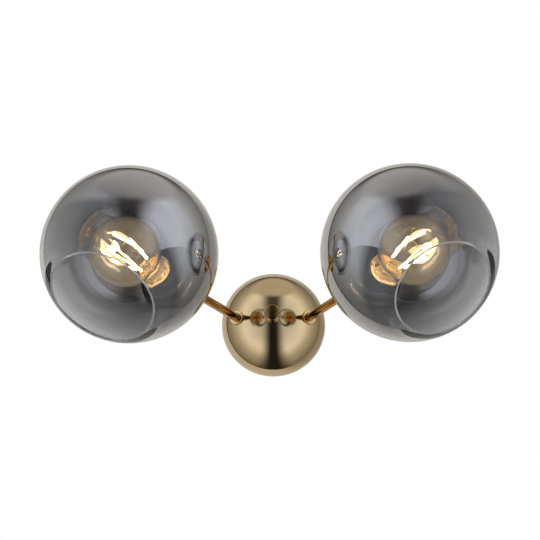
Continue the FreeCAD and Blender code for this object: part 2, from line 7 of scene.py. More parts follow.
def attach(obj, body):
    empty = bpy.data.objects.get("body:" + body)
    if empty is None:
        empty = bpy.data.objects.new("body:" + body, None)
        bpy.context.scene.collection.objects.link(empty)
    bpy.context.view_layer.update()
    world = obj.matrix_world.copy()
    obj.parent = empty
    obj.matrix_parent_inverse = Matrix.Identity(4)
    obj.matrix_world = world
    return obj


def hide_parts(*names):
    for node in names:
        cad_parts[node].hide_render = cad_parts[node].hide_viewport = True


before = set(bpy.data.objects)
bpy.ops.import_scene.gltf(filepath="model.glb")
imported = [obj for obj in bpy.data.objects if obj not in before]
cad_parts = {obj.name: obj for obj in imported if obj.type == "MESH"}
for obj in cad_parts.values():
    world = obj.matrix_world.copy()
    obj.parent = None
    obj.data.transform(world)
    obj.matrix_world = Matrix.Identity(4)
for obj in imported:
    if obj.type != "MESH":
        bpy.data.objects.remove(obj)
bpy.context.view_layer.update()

# Wall light with two arms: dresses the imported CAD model. Pieces are turned along +Z with the
# globe's centre at the origin, then placed along their arm. Sizes are in millimetres.
mm = 0.001
samePoint = 0.008       # points of a turned piece that lie closer than this are one
sameCadPoint = 0.002    # and so are points of a CAD shape

arms = {
    "splay": 26.4,          # degrees from the wall's normal
    "rise": 6.2,            # degrees above level
    "rootX": 33.6,          # where the axis leaves the canopy
    "reach": 190.5,         # from there to the globe's centre
    "sides": {"left": -1, "right": 1},
}
canopyRadius = 50.0


def armAxis(side):
    splay, rise = math.radians(arms["splay"]), math.radians(arms["rise"])
    return Vector((side * math.sin(splay) * math.cos(rise),
                   -math.cos(splay) * math.cos(rise), math.sin(rise)))


def headMatrix(side):
    # Z along the arm, X as near to straight down as it can be
    axis = armAxis(side)
    root = Vector((side * arms["rootX"], -math.sqrt(canopyRadius ** 2 - arms["rootX"] ** 2), 0))
    down = Vector((0, 0, -1))
    down = (down - axis * down.dot(axis)).normalized()
    turn = Matrix((down, axis.cross(down), axis)).transposed().to_4x4()
    return Matrix.Translation((root + axis * arms["reach"]) * mm) @ turn


wallMatrix = Matrix.Rotation(math.radians(90), 4, "X")    # +Z of a turned piece leaves the wall


# Modelling helpers

def clearSelection():
    if bpy.context.object and bpy.context.object.mode != "OBJECT":
        bpy.ops.object.mode_set(mode="OBJECT")
    bpy.ops.object.select_all(action="DESELECT")


def pick(obj):
    clearSelection()
    obj.select_set(True)
    bpy.context.view_layer.objects.active = obj


def applyPlace(obj):
    pick(obj)
    bpy.ops.object.transform_apply(location=True, rotation=True, scale=True)


def arc(centre, radius, start, end, steps):
    # points of an arc in the outline's plane, angles in degrees from the outward direction
    points = []
    for step in range(steps + 1):
        angle = math.radians(start + (end - start) * step / steps)
        points.append((centre[0] + radius * math.cos(angle), centre[1] + radius * math.sin(angle)))
    return points


def turnOutline(name, outline, segments=96, closed=True):
    # one vertex is drawn along the outline, then spun about Z
    clearSelection()
    bpy.ops.mesh.primitive_plane_add(size=mm)
    obj = bpy.context.object
    obj.name = name
    obj.data.name = name
    bpy.ops.object.mode_set(mode="EDIT")
    bpy.ops.mesh.select_all(action="SELECT")
    bpy.ops.mesh.merge(type="CENTER")
    here = (0.0, 0.0)
    first = True
    for radius, z in list(outline) + ([outline[0]] if closed else []):
        step = ((radius - here[0]) * mm, 0, (z - here[1]) * mm)
        if first:
            bpy.ops.transform.translate(value=step)
            first = False
        else:
            bpy.ops.mesh.extrude_vertices_move(TRANSFORM_OT_translate={"value": step})
        here = (radius, z)
    bpy.ops.mesh.select_all(action="SELECT")
    bpy.ops.mesh.spin(steps=segments, angle=math.tau, center=(0, 0, 0), axis=(0, 0, 1))
    bpy.ops.mesh.select_all(action="SELECT")
    bpy.ops.mesh.remove_doubles(threshold=samePoint * mm)
    bpy.ops.mesh.normals_make_consistent(inside=False)
    bpy.ops.object.mode_set(mode="OBJECT")
    return obj


def applyModifier(obj, kind, **settings):
    pick(obj)
    modifier = obj.modifiers.new(kind.title(), kind)
    for key, value in settings.items():
        setattr(modifier, key, value)
    bpy.ops.object.modifier_apply(modifier=modifier.name)


def bevel(obj, width, segments=3, angle=30):
    applyModifier(obj, "BEVEL", width=width * mm, segments=segments, limit_method="ANGLE",
                  angle_limit=math.radians(angle), harden_normals=False)


def cut(obj, cutter):
    applyModifier(obj, "BOOLEAN", object=cutter, operation="DIFFERENCE", solver="EXACT")
    bpy.data.objects.remove(cutter)


def cutBall(obj, radius):
    # cuts away the ball of this radius about the origin, which leaves a seat on it
    clearSelection()
    bpy.ops.mesh.primitive_uv_sphere_add(segments=192, ring_count=96, radius=radius * mm)
    cut(obj, bpy.context.object)


def smooth(obj, angle=32):
    pick(obj)
    bpy.ops.object.shade_smooth_by_angle(angle=math.radians(angle))


def rodBetween(name, start, end, radius, segments=24):
    clearSelection()
    middle = (start + end) / 2
    bpy.ops.mesh.primitive_cylinder_add(vertices=segments, radius=radius * mm,
                                        depth=(end - start).length * mm, location=middle * mm)
    obj = bpy.context.object
    obj.name = name
    obj.data.name = name
    obj.rotation_euler = (end - start).to_track_quat("Z", "Y").to_euler()
    applyPlace(obj)
    return obj


def place(obj, matrix):
    obj.matrix_world = matrix @ obj.matrix_world
    applyPlace(obj)
    return obj


def finishPiece(obj, body, node, material, angle=32):
    smooth(obj, angle)
    obj.data.materials.clear()
    obj.data.materials.append(material)
    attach(obj, body)
    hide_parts(*([node] if isinstance(node, str) else node))
    return obj


# Material helpers

def colour(code):
    # sRGB hex to linear
    channels = [int(code[i:i + 2], 16) / 255 for i in (1, 3, 5)]
    linear = [c / 12.92 if c <= 0.04045 else ((c + 0.055) / 1.055) ** 2.4 for c in channels]
    return (*linear, 1)


def addNode(tree, kind, settings=None, links=None):
    node = tree.nodes.new(kind)
    for key, value in (settings or {}).items():
        if key == "ramp":
            while len(node.color_ramp.elements) < len(value):
                node.color_ramp.elements.new(1.0)
            for element, (position, shade) in zip(node.color_ramp.elements, value):
                element.position = position
                element.color = shade if isinstance(shade, tuple) else (shade, shade, shade, 1)
        elif isinstance(key, int) or key in node.inputs:
            node.inputs[key].default_value = value
        else:
            setattr(node, key, value)
    for key, source in (links or {}).items():
        tree.links.new(source, node.inputs[key])
    return node


def newMaterial(name):
    material = bpy.data.materials.new(name)
    material.use_nodes = True
    material.node_tree.nodes.clear()
    return material, material.node_tree


def closeMaterial(tree, shader):
    addNode(tree, "ShaderNodeOutputMaterial", links={"Surface": shader.outputs[0]})


def metalPlate(name, light, dark, roughness, waviness):
    # polished plate: mirror-like, with a faint roll of the polishing wheel and fine haze
    material, tree = newMaterial(name)
    coords = addNode(tree, "ShaderNodeTexCoord")
    tone = addNode(tree, "ShaderNodeTexNoise", {"Scale": 1 / (14 * mm), "Detail": 3.0},
                   {"Vector": coords.outputs["Object"]})
    shade = addNode(tree, "ShaderNodeValToRGB",
                    {"ramp": [(0.35, colour(dark)), (0.65, colour(light))]},
                    {"Fac": tone.outputs["Fac"]})
    haze = addNode(tree, "ShaderNodeTexNoise", {"Scale": 1 / (2.5 * mm), "Detail": 5.0},
                   {"Vector": coords.outputs["Object"]})
    rough = addNode(tree, "ShaderNodeMapRange", {"From Min": 0.3, "From Max": 0.7,
                    "To Min": roughness * 0.7, "To Max": roughness * 1.4},
                    {"Value": haze.outputs["Fac"]})
    roll = addNode(tree, "ShaderNodeTexNoise", {"Scale": 1 / (9 * mm), "Detail": 1.0},
                   {"Vector": coords.outputs["Object"]})
    bump = addNode(tree, "ShaderNodeBump", {"Strength": 1.0, "Distance": waviness * mm},
                   {"Height": roll.outputs["Fac"]})
    shader = addNode(tree, "ShaderNodeBsdfPrincipled", {"Metallic": 1.0},
                     {"Base Color": shade.outputs["Color"], "Roughness": rough.outputs["Result"],
                      "Normal": bump.outputs["Normal"]})
    closeMaterial(tree, shader)
    return material


def mouldedPlastic(name, base, spot, roughness, grain):
    # moulded phenolic or thermoplastic: dielectric gloss with a fine cast grain
    material, tree = newMaterial(name)
    coords = addNode(tree, "ShaderNodeTexCoord")
    tone = addNode(tree, "ShaderNodeTexNoise", {"Scale": 1 / (3 * mm), "Detail": 4.0},
                   {"Vector": coords.outputs["Object"]})
    shade = addNode(tree, "ShaderNodeValToRGB",
                    {"ramp": [(0.35, colour(base)), (0.7, colour(spot))]},
                    {"Fac": tone.outputs["Fac"]})
    rough = addNode(tree, "ShaderNodeMapRange", {"From Min": 0.3, "From Max": 0.7,
                    "To Min": roughness * 0.8, "To Max": roughness * 1.25},
                    {"Value": tone.outputs["Fac"]})
    cast = addNode(tree, "ShaderNodeTexNoise", {"Scale": 1 / (0.5 * mm), "Detail": 2.0},
                   {"Vector": coords.outputs["Object"]})
    bump = addNode(tree, "ShaderNodeBump", {"Strength": 0.6, "Distance": grain * mm},
                   {"Height": cast.outputs["Fac"]})
    shader = addNode(tree, "ShaderNodeBsdfPrincipled", {"IOR": 1.58},
                     {"Base Color": shade.outputs["Color"], "Roughness": rough.outputs["Result"],
                      "Normal": bump.outputs["Normal"]})
    closeMaterial(tree, shader)
    return material


# coat and tint from the side away from the mouth, 0, to the mouth, 1
smoke = {"lean": 0.25,      # how far the coat's axis leans from the mouth's to the arm's
         "coat": [(0.0, 0.98), (0.25, 0.965), (0.33, 0.88), (0.44, 0.78), (0.56, 0.62),
                  (0.67, 0.37), (0.72, 0.27), (0.77, 0.03), (0.9, 0.01)],
         "tint": [(0.0, "#D3D1D2"), (0.5, "#DCDBDC"), (0.8, "#F1F1F2")]}


def smokedGlass(name, middle, axis, radius, coated):
    # blown soda-lime glass, smoke grey; its outer face has an evaporated mirror coat that
    # thins out towards the mouth, where the glass is nearly clear
    material, tree = newMaterial(name)
    coords = addNode(tree, "ShaderNodeTexCoord")
    centred = addNode(tree, "ShaderNodeMapping", {"Location": -middle},
                      {"Vector": coords.outputs["Object"]})
    along = addNode(tree, "ShaderNodeVectorMath", {"operation": "DOT_PRODUCT", 1: axis},
                    {0: centred.outputs["Vector"]})
    share = addNode(tree, "ShaderNodeMapRange", {"From Min": -radius * mm, "From Max": radius * mm},
                    {"Value": along.outputs["Value"]})
    tint = addNode(tree, "ShaderNodeValToRGB",
                   {"ramp": [(at, colour(code)) for at, code in smoke["tint"]]},
                   {"Fac": share.outputs["Result"]})
    flow = addNode(tree, "ShaderNodeTexNoise", {"Scale": 1 / (40 * mm), "Detail": 1.0},
                   {"Vector": coords.outputs["Object"]})
    bump = addNode(tree, "ShaderNodeBump", {"Strength": 1.0, "Distance": 0.06 * mm},
                   {"Height": flow.outputs["Fac"]})
    shader = addNode(tree, "ShaderNodeBsdfPrincipled",
                     {"IOR": 1.43, "Roughness": 0.0, "Transmission Weight": 1.0},
                     {"Base Color": tint.outputs["Color"], "Normal": bump.outputs["Normal"]})
    if coated:
        coat = addNode(tree, "ShaderNodeValToRGB", {"ramp": smoke["coat"]},
                       {"Fac": share.outputs["Result"]})
        tree.links.new(coat.outputs["Color"], shader.inputs["Metallic"])
    closeMaterial(tree, shader)
    return material


def clearGlass(name, paintedGlow, haze):
    # thin blown bulb glass with a trace of haze; its faint emission is a painted glow, standing in
    # for the filaments' light caught in the glass
    material, tree = newMaterial(name)
    coords = addNode(tree, "ShaderNodeTexCoord")
    flow = addNode(tree, "ShaderNodeTexNoise", {"Scale": 1 / (12 * mm), "Detail": 1.0},
                   {"Vector": coords.outputs["Object"]})
    bump = addNode(tree, "ShaderNodeBump", {"Strength": 1.0, "Distance": 0.03 * mm},
                   {"Height": flow.outputs["Fac"]})
    shader = addNode(tree, "ShaderNodeBsdfPrincipled",
                     {"Base Color": colour("#FBF8F2"), "IOR": 1.5, "Roughness": 0.0,
                      "Transmission Weight": 1.0 - haze, "Emission Color": colour("#FFF2E0"),
                      "Emission Strength": paintedGlow}, {"Normal": bump.outputs["Normal"]})
    closeMaterial(tree, shader)
    return material


def groundGlass(name):
    # the cut lip: ground, then flame polished, so it is paler and less clear than the wall
    material, tree = newMaterial(name)
    coords = addNode(tree, "ShaderNodeTexCoord")
    grit = addNode(tree, "ShaderNodeTexNoise", {"Scale": 1 / (0.8 * mm), "Detail": 3.0},
                   {"Vector": coords.outputs["Object"]})
    rough = addNode(tree, "ShaderNodeMapRange", {"To Min": 0.25, "To Max": 0.4},
                    {"Value": grit.outputs["Fac"]})
    shader = addNode(tree, "ShaderNodeBsdfPrincipled",
                     {"Base Color": colour("#F2F1EF"), "IOR": 1.5, "Transmission Weight": 0.6},
                     {"Roughness": rough.outputs["Result"]})
    closeMaterial(tree, shader)
    return material


def glowStick(name, tone, strength):
    # phosphor-coated filament stick, lit
    material, tree = newMaterial(name)
    coords = addNode(tree, "ShaderNodeTexCoord")
    beads = addNode(tree, "ShaderNodeTexNoise", {"Scale": 1 / (1.2 * mm), "Detail": 1.0},
                    {"Vector": coords.outputs["Object"]})
    shade = addNode(tree, "ShaderNodeValToRGB",
                    {"ramp": [(0.3, colour("#FFC35C")), (0.7, colour("#FFE9B8"))]},
                    {"Fac": beads.outputs["Fac"]})
    shader = addNode(tree, "ShaderNodeBsdfPrincipled",
                     {"Roughness": 0.5, "Emission Color": colour(tone),
                      "Emission Strength": strength},
                     {"Base Color": shade.outputs["Color"]})
    closeMaterial(tree, shader)
    return material


materials = {
    "canopyGold": metalPlate("polishedChampagneGoldPlate", "#DEC59C", "#D7BD91", 0.05, 0.006),
    "armGold": metalPlate("polishedGoldPlate", "#C89658", "#B98549", 0.07, 0.008),
    # the knob's gold is a darker copy of the canopy's: painted shade for its darker face; the
    # higher roughness is its turned finish
    "knobGoldPaintedShade": metalPlate("turnedChampagneGoldPaintedShade", "#BE9A63", "#B8945D", 0.12, 0.001),
    "collarGold": metalPlate("turnedGoldPlate", "#DDBF92", "#D3B27F", 0.08, 0.008),
    "zincSteel": metalPlate("zincPlatedSteel", "#C6C8C6", "#A9ABA8", 0.32, 0.02),
    "bareBrass": metalPlate("bareBrass", "#D8B06A", "#C79A55", 0.25, 0.02),
    "bulbBrass": metalPlate("rolledBrassCap", "#F6DDAA", "#ECCB92", 0.3, 0.01),
    "solder": metalPlate("tinSolder", "#BDBDBB", "#9E9E9C", 0.35, 0.05),
    "nickelWire": metalPlate("drawnNickelWire", "#CFC9B8", "#B8B09C", 0.25, 0.005),
    "phenolic": mouldedPlastic("blackMouldedPhenolic", "#0B0A0C", "#100E11", 0.2, 0.002),
    "vitrite": mouldedPlastic("blackVitrite", "#0C0C0E", "#141416", 0.15, 0.005),
    "blockWhite": mouldedPlastic("naturalPolyamide", "#E9E6DC", "#DEDACE", 0.45, 0.01),
    "leadSheath": mouldedPlastic("siliconeGlassSheath", "#E2DFD6", "#D2CFC4", 0.6, 0.03),
    "rimGlass": groundGlass("polishedGlassRim"),
    # bulb glass and stem carry a faint painted glow (emission), though they are no lamp
    "clearGlass": clearGlass("clearBulbGlass", 0.012, 0.006),
    "glow": glowStick("litPhosphorFilament", "#FFE0A8", 140.0),
}
print("materials ready")

# Canopy: a spun half ball, drilled for the stud and both arms
canopy = {"wall": 1.2, "studHole": 3.3, "armHole": 4.05, "drillReach": 12,
          "steps": 72, "innerSteps": 36, "segments": 192}


def makeCanopy():
    inner = canopyRadius - canopy["wall"]
    top = math.degrees(math.acos(canopy["studHole"] / canopyRadius))
    topInner = math.degrees(math.acos(canopy["studHole"] / inner))
    outline = arc((0, 0), canopyRadius, 0, top, canopy["steps"])
    outline += arc((0, 0), inner, topInner, 0, canopy["innerSteps"])
    piece = place(turnOutline("canopyShell", outline, canopy["segments"]), wallMatrix)
    for side in arms["sides"].values():
        head = headMatrix(side)
        start, end = (head @ Vector((0, 0, -(arms["reach"] + past) * mm)) / mm
                      for past in (canopy["drillReach"], -canopy["drillReach"]))
        cut(piece, rodBetween("drill", start, end, canopy["armHole"], segments=48))
    return piece


# Knob: a cap nut in the canopy's middle, its back hollowed to the ball, its face slightly domed
knob = {"radius": 7.5, "length": 14.0, "edge": 0.9, "bore": 3.05, "endWall": 3.5, "seat": 50.05,
        "crown": 36.0, "seatSteps": 6, "edgeSteps": 6, "crownSteps": 8}


def makeKnob():
    front = canopyRadius + knob["length"]
    boreAngle, rimAngle = (math.degrees(math.acos(knob[key] / knob["seat"]))
                           for key in ("bore", "radius"))
    flat, crownRadius = knob["radius"] - knob["edge"], knob["crown"] - knob["edge"]
    crownEdge = math.acos(flat / crownRadius)
    crownMiddle = front - knob["crown"]
    edgeMiddle = (flat, crownMiddle + crownRadius * math.sin(crownEdge))
    crownEdge = math.degrees(crownEdge)
    outline = arc((0, 0), knob["seat"], boreAngle, rimAngle, knob["seatSteps"])
    outline += arc(edgeMiddle, knob["edge"], 0, crownEdge, knob["edgeSteps"])
    outline += arc((0, crownMiddle), knob["crown"], crownEdge, 90, knob["crownSteps"])[1:]
    outline += [(0, front - knob["endWall"]), (knob["bore"], front - knob["endWall"])]
    return place(turnOutline("canopyKnobTurned", outline), wallMatrix)


finishPiece(makeCanopy(), "fixture", "canopy", materials["canopyGold"], angle=40)
finishPiece(makeKnob(), "knob", "canopy_knob", materials["knobGoldPaintedShade"])
print("canopy and knob done")


# The pieces along one arm, from the canopy to the bulb

tube = {"radius": 4.0, "bore": 3.1, "start": -206.5, "end": -85.3, "edge": 0.3, "segments": 64,
        "thread": 16.0, "pitch": 1.0, "depth": 0.45, "flanks": (0.12, 0.45, 0.6, 0.93),
        "runOut": 0.5}


def makeTube(prefix, head):
    outer, edge = tube["radius"], tube["edge"]
    root = outer - tube["depth"]
    outline = [(tube["bore"], tube["start"] + edge), (tube["bore"] + edge, tube["start"])]
    for turn in range(int(tube["thread"] / tube["pitch"])):
        z = tube["start"] + turn * tube["pitch"]
        outline += [(radius, z + flank)
                    for radius, flank in zip((root, outer, outer, root), tube["flanks"])]
    outline += [(outer, tube["start"] + tube["thread"] + tube["runOut"]),
                (outer, tube["end"] - edge), (outer - edge, tube["end"]),
                (tube["bore"], tube["end"])]
    return place(turnOutline(prefix + "ArmTubeThreaded", outline, tube["segments"]), head)


collar = {"radius": 6.8, "height": 3.0, "bore": 4.02, "seat": 50.02,
          "edge": 0.8, "edgeSteps": 6, "boreEdge": 0.25, "boreEdgeSteps": 3}


def makeCollar(prefix, head):
    root = -arms["reach"]
    top = root + collar["height"]
    bottom = root - collar["radius"]
    edge, boreEdge = collar["edge"], collar["boreEdge"]
    outline = [(collar["bore"], bottom), (collar["radius"], bottom)]
    outline += arc((collar["radius"] - edge, top - edge), edge, 0, 90, collar["edgeSteps"])
    outline += arc((collar["bore"] + boreEdge, top - boreEdge), boreEdge, 90, 180,
                   collar["boreEdgeSteps"])
    piece = place(turnOutline(prefix + "ArmCollarTurned", outline), head)
    cutBall(piece, collar["seat"])      # it sits on the canopy, whose ball is about the origin
    return piece


cup = {"radius": 23.5, "wall": 1.2, "back": -97.0, "front": -67.5, "corner": 9.0,
       "cornerSteps": 12, "ball": 75.3, "bore": 4.02, "segments": 128}


def makeCup(prefix, head):
    inner = cup["radius"] - cup["wall"]
    floor = cup["back"] + cup["wall"]
    centre = (cup["radius"] - cup["corner"], cup["back"] + cup["corner"])
    outline = [(cup["bore"], cup["back"])]
    outline += arc(centre, cup["corner"], -90, 0, cup["cornerSteps"])
    outline += [(cup["radius"], cup["front"]), (inner, cup["front"])]
    outline += arc(centre, cup["corner"] - cup["wall"], 0, -90, cup["cornerSteps"])
    outline += [(cup["bore"], floor)]
    piece = turnOutline(prefix + "HolderCupSpun", outline, cup["segments"])
    cutBall(piece, cup["ball"])      # its rim follows the globe
    return place(piece, head)


globe = {"radius": 75.0, "wall": 2.5, "neck": 21.6, "drill": (-80.0, -60.0),
         "edge": 0.35, "edgeSegments": 4, "edgeAngle": 40, "rings": 84, "segments": 192,
         "lip": 1.1, "lipRun": 10.0,      # the wall thins to its polished lip over these degrees
         "coatDepth": 0.5, "rimDepth": 1.2,      # how deep coat and lip glass reach, in edges
         "left": {"tilt": 54.8, "turn": 0.0, "plane": 59.4},
         "right": {"tilt": 47.1, "turn": 4.2, "plane": 61.1}}


def mouthAxis(prefix):
    # where the mouth faces, in the globe's own frame
    tilt, turn = math.radians(globe[prefix]["tilt"]), math.radians(globe[prefix]["turn"])
    return Vector((math.sin(tilt) * math.cos(turn), math.sin(tilt) * math.sin(turn),
                   math.cos(tilt)))


def makeGlobe(prefix, head):
    # turned about the mouth's axis so that the rim is round and clean, then the neck is drilled
    plane = globe[prefix]["plane"]
    inside, lip = globe["radius"] - globe["wall"], globe["radius"] - globe["lip"]
    rimOuter = math.degrees(math.asin(plane / globe["radius"]))
    rimInner = math.degrees(math.asin(plane / lip))
    outline = arc((0, 0), globe["radius"], -90, rimOuter, globe["rings"])
    for radius, height in arc((0, 0), 1.0, rimInner, -90, globe["rings"]):
        angle = math.degrees(math.asin(max(height, -1.0)))
        share = min((rimInner - angle) / globe["lipRun"], 1.0)
        wallInside = lip + (inside - lip) * (3 - 2 * share) * share ** 2      # eased
        outline.append((radius * wallInside, height * wallInside))
    piece = turnOutline(prefix + "GlobeBlown", outline, globe["segments"], closed=False)
    bevel(piece, globe["edge"], globe["edgeSegments"], globe["edgeAngle"])
    piece.rotation_euler = mouthAxis(prefix).to_track_quat("Z", "Y").to_euler()
    applyPlace(piece)
    start, end = (Vector((0, 0, z)) for z in globe["drill"])
    cut(piece, rodBetween("neckDrill", start, end, globe["neck"], segments=96))
    return place(piece, head)


def coatGlobe(piece, prefix, middle, axis, coat, rim):
    # mirror coat on the outer face, lip glass round the mouth, plain glass inside
    piece.data.materials.append(coat)
    piece.data.materials.append(rim)
    outside = (globe["radius"] - globe["edge"] * globe["coatDepth"]) * mm
    lipStart = (globe[prefix]["plane"] - globe["edge"] * globe["rimDepth"]) * mm
    for face in piece.data.polygons:
        if (face.center - middle).length > outside:
            face.material_index = 1
        elif (face.center - middle).dot(axis) > lipStart:
            face.material_index = 2


ring = {"radius": 28.0, "flange": 3.4, "hub": 22.2, "hubLength": 5.5, "bore": 20.05,
        "boreEdge": 0.5, "seat": 72.2, "seatMiddle": 25.0, "edge": 1.0, "edgeSteps": 5,
        "backEdge": [(0.2, 0.1), (0.0, 0.4)],      # in from the flange's radius, and forward
        "groove": [(1.6, 0.0), (1.4, 0.4), (0.6, 0.4), (0.0, 0.0)],      # out from the hub, deep
        "segments": 128}


def heightOnBall(ball, radius):
    return math.sqrt(ball ** 2 - radius ** 2)


def makeRing(prefix, head):
    seatBack = -heightOnBall(ring["seat"], ring["radius"])
    flangeFront = seatBack + ring["flange"]
    hubFront = flangeFront + ring["hubLength"]
    edge, steps = ring["edge"], ring["edgeSteps"]
    outline = [(radius, -heightOnBall(ring["seat"], radius))
               for radius in (ring["bore"], ring["hub"], ring["seatMiddle"])]
    outline += [(ring["radius"] - inward, seatBack + rise) for inward, rise in ring["backEdge"]]
    outline += arc((ring["radius"] - edge, flangeFront - edge), edge, 0, 90, steps)
    outline += [(ring["hub"] + outward, flangeFront - depth) for outward, depth in ring["groove"]]
    outline += arc((ring["hub"] - edge, hubFront - edge), edge, 0, 90, steps)
    outline += [(ring["bore"] + ring["boreEdge"], hubFront),
                (ring["bore"], hubFront - ring["boreEdge"])]
    return place(turnOutline(prefix + "ShadeRingMoulded", outline, ring["segments"]), head)


sleeve = {"radius": 20.0, "wall": 2.4, "front": -46.5, "rim": 15.0, "rimLength": 3.5,
          "step": 17.0, "stepLength": 8.0, "length": 26.0, "mouth": 13.9, "bore": 13.75,
          "edge": 0.5, "edgeSteps": 4, "mouthEdge": 0.2, "rimFoot": 0.3,
          "stepFoot": [(0.6, 0.6), (0.0, 1.4)],      # out from the step, and forward
          "threadStart": 1.0, "threadStop": 2.0, "pitch": 2.2, "depth": 0.5,
          "flanks": (0.0, 0.6, 1.0, 1.6), "segments": 128}


def makeSleeve(prefix, head):
    outer, rim, step, edge = sleeve["radius"], sleeve["rim"], sleeve["step"], sleeve["edge"]
    inner, root = outer - sleeve["wall"], outer - sleeve["depth"]
    front = sleeve["front"]
    rimBack = front - sleeve["rimLength"]
    stepBack = rimBack - sleeve["stepLength"]
    back = stepBack - sleeve["length"]
    outline = [(inner, back), (outer, back)]
    z = back + sleeve["threadStart"]
    while z < stepBack - sleeve["threadStop"]:     # round thread for the shade ring
        outline += [(radius, z + flank)
                    for radius, flank in zip((outer, root, root, outer), sleeve["flanks"])]
        z += sleeve["pitch"]
    outline.append((outer, stepBack))
    outline += [(step + outward, stepBack + rise) for outward, rise in sleeve["stepFoot"]]
    outline += [(step, rimBack - edge), (step - edge, rimBack),
                (rim + sleeve["rimFoot"], rimBack), (rim, rimBack + sleeve["rimFoot"])]
    outline += arc((rim - edge, front - edge), edge, 0, 90, sleeve["edgeSteps"])
    outline += [(sleeve["mouth"] + sleeve["mouthEdge"], front),
                (sleeve["mouth"], front - sleeve["mouthEdge"]), (sleeve["mouth"], rimBack),
                (sleeve["bore"], rimBack), (sleeve["bore"], stepBack - sleeve["wall"]),
                (inner, stepBack - sleeve["wall"])]
    return place(turnOutline(prefix + "HolderSleeveMoulded", outline, sleeve["segments"]), head)


bulb = {"radius": 30.0, "middle": 7.0, "waist": 40.0, "neck": 12.3, "wall": 0.8, "seat": -46.6,
        "ballSteps": 40, "waistSteps": 14, "segments": 128}


def bulbProfile(wall):
    ball, waist, neck = bulb["radius"] - wall, bulb["waist"] + wall, bulb["neck"] - wall
    waistX = neck + waist
    waistZ = bulb["middle"] - math.sqrt((ball + waist) ** 2 - waistX ** 2)
    joint = math.degrees(math.atan2(waistZ - bulb["middle"], waistX))
    return (arc((0, bulb["middle"]), ball, 90, joint, bulb["ballSteps"])
            + arc((waistX, waistZ), waist, joint + 180, 180, bulb["waistSteps"])[1:]
            + [(neck, bulb["seat"])])


def makeBulbGlass(prefix, head):
    outline = bulbProfile(0) + bulbProfile(bulb["wall"])[::-1]
    piece = turnOutline(prefix + "BulbGlassBlown", outline, bulb["segments"], closed=False)
    return place(piece, head)


cap = {"radius": 13.0, "front": -43.6, "back": -64.6, "pitch": 3.63, "depth": 0.75, "turnSteps": 8,
       "plain": 2.5,      # length without thread at either end
       "flare": [(-0.2, 1.6), (0.1, 1.2)],      # out from the radius, and back from the front
       "lip": 0.6, "lipSteps": 6, "lipInside": 0.1, "neckGap": 0.02, "floor": 0.6, "sheet": 0.5,
       "shoulder": 3.1, "tip": 10.0, "tipInside": 1.2}


def makeBulbCap(prefix, head):
    front, back = cap["front"], cap["back"]
    low = cap["radius"] - cap["depth"]
    inner, neck = low - cap["sheet"], bulb["neck"] + cap["neckGap"]
    floorBack = bulb["seat"] - cap["floor"]
    z = back + cap["plain"]
    outline = [(cap["tip"], back), (low, z)]
    while z + cap["pitch"] < front - cap["plain"]:      # rolled round thread
        for step in range(1, cap["turnSteps"] + 1):
            share = step / cap["turnSteps"]
            swell = (1 - math.cos(math.tau * share)) / 2
            outline.append((low + cap["depth"] * swell, z + cap["pitch"] * share))
        z += cap["pitch"]
    outline += [(cap["radius"] + outward, front - backward) for outward, backward in cap["flare"]]
    outline += arc((cap["radius"], front - cap["lip"]), cap["lip"], -60, 90, cap["lipSteps"])
    outline += [(neck, front - cap["lipInside"]), (neck, bulb["seat"]), (0, bulb["seat"]),
                (0, floorBack), (inner, floorBack), (inner, back + cap["shoulder"]),
                (cap["tip"], back + cap["tipInside"])]
    return place(turnOutline(prefix + "BulbCapRolled", outline), head)


for sideName, side in arms["sides"].items():
    head = headMatrix(side)
    ringBody, bulbBody = sideName + "_ring", sideName + "_bulb"
    finishPiece(makeTube(sideName, head), "fixture", sideName + "_arm_tube",
                materials["armGold"])
    finishPiece(makeCollar(sideName, head), "fixture", sideName + "_arm_collar",
                materials["collarGold"])
    finishPiece(makeCup(sideName, head), "fixture", sideName + "_holder_cup",
                materials["armGold"])
    middle, axis = head.translation, head.to_3x3() @ mouthAxis(sideName)
    coatAxis = axis.lerp(armAxis(side), smoke["lean"]).normalized()
    plain, coat = (smokedGlass(name + sideName.title(), middle, coatAxis, globe["radius"], coated)
                   for name, coated in (("smokedGlass", False), ("mirrorCoatedSmokedGlass", True)))
    blown = finishPiece(makeGlobe(sideName, head), sideName + "_shade", sideName + "_globe",
                        plain)
    coatGlobe(blown, sideName, middle, axis, coat, materials["rimGlass"])
    finishPiece(makeRing(sideName, head), ringBody, sideName + "_shade_ring",
                materials["phenolic"])
    finishPiece(makeSleeve(sideName, head), "fixture", sideName + "_holder_sleeve",
                materials["phenolic"])
    finishPiece(makeBulbGlass(sideName, head), bulbBody, sideName + "_bulb_glass",
                materials["clearGlass"])
    finishPiece(makeBulbCap(sideName, head), bulbBody, sideName + "_bulb_cap",
                materials["bulbBrass"])
    print(sideName, "arm, globe and bulb done")


def copyOfNode(node, name):
    # the CAD shape itself, merged so that it can be shaded smooth
    clearSelection()
    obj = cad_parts[node].copy()
    obj.data = obj.data.copy()
    obj.name = name
    obj.data.name = name
    obj.parent = None
    for key in list(obj.keys()):
        del obj[key]
    bpy.context.collection.objects.link(obj)
    pick(obj)
    bpy.ops.object.mode_set(mode="EDIT")
    bpy.ops.mesh.select_all(action="SELECT")
    bpy.ops.mesh.remove_doubles(threshold=sameCadPoint * mm)
    bpy.ops.object.mode_set(mode="OBJECT")
    return obj


